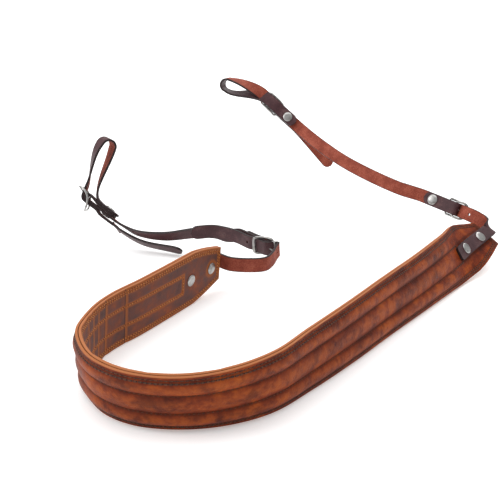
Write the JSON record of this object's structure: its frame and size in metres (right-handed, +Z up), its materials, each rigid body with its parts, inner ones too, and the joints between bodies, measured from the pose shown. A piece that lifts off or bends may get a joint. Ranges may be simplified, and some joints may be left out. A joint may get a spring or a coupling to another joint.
{
  "type": "camera neck strap",
  "caption": "Leather neck strap with a wide ribbed pad, riveted end tabs, buckled connector straps and an adjustable lug loop at each far end.",
  "frame": {"origin": "middle of the left lug loop, where the strap hangs", "axes": "+X to the picture's right, +Y away from the viewer, +Z up; the pad's lower edge lies 66.5 mm below the origin"},
  "size_m": [0.2934, 0.3972, 0.0952],
  "materials": {
    "cover": "waxed pull-up, worn",
    "lining": "matt, rubbed",
    "strap": "satin grain, rough flesh side",
    "nickel": "polished nickel plate"
  },
  "bodies": {
    "root": {"pad_cover": "cover", "pad_backing": "lining", "left_pad_tab": "strap", "left_connector_strap": "strap", "left_lug_strap": "strap", "left_pad_rivet_1": "nickel", "left_pad_rivet_2": "nickel", "left_pad_buckle_rivet": "nickel", "left_lug_buckle_rivet": "nickel", "left_pad_buckle_frame": "nickel", "left_pad_buckle_prong": "nickel", "left_lug_buckle_frame": "nickel", "left_lug_buckle_prong": "nickel", "right_pad_tab": "strap", "right_connector_strap": "strap", "right_lug_strap": "strap", "right_pad_rivet_1": "nickel", "right_pad_rivet_2": "nickel", "right_pad_buckle_rivet": "nickel", "right_lug_buckle_rivet": "nickel", "right_pad_buckle_frame": "nickel", "right_pad_buckle_prong": "nickel", "right_lug_buckle_frame": "nickel", "right_lug_buckle_prong": "nickel"}
  },
  "joints": []
}
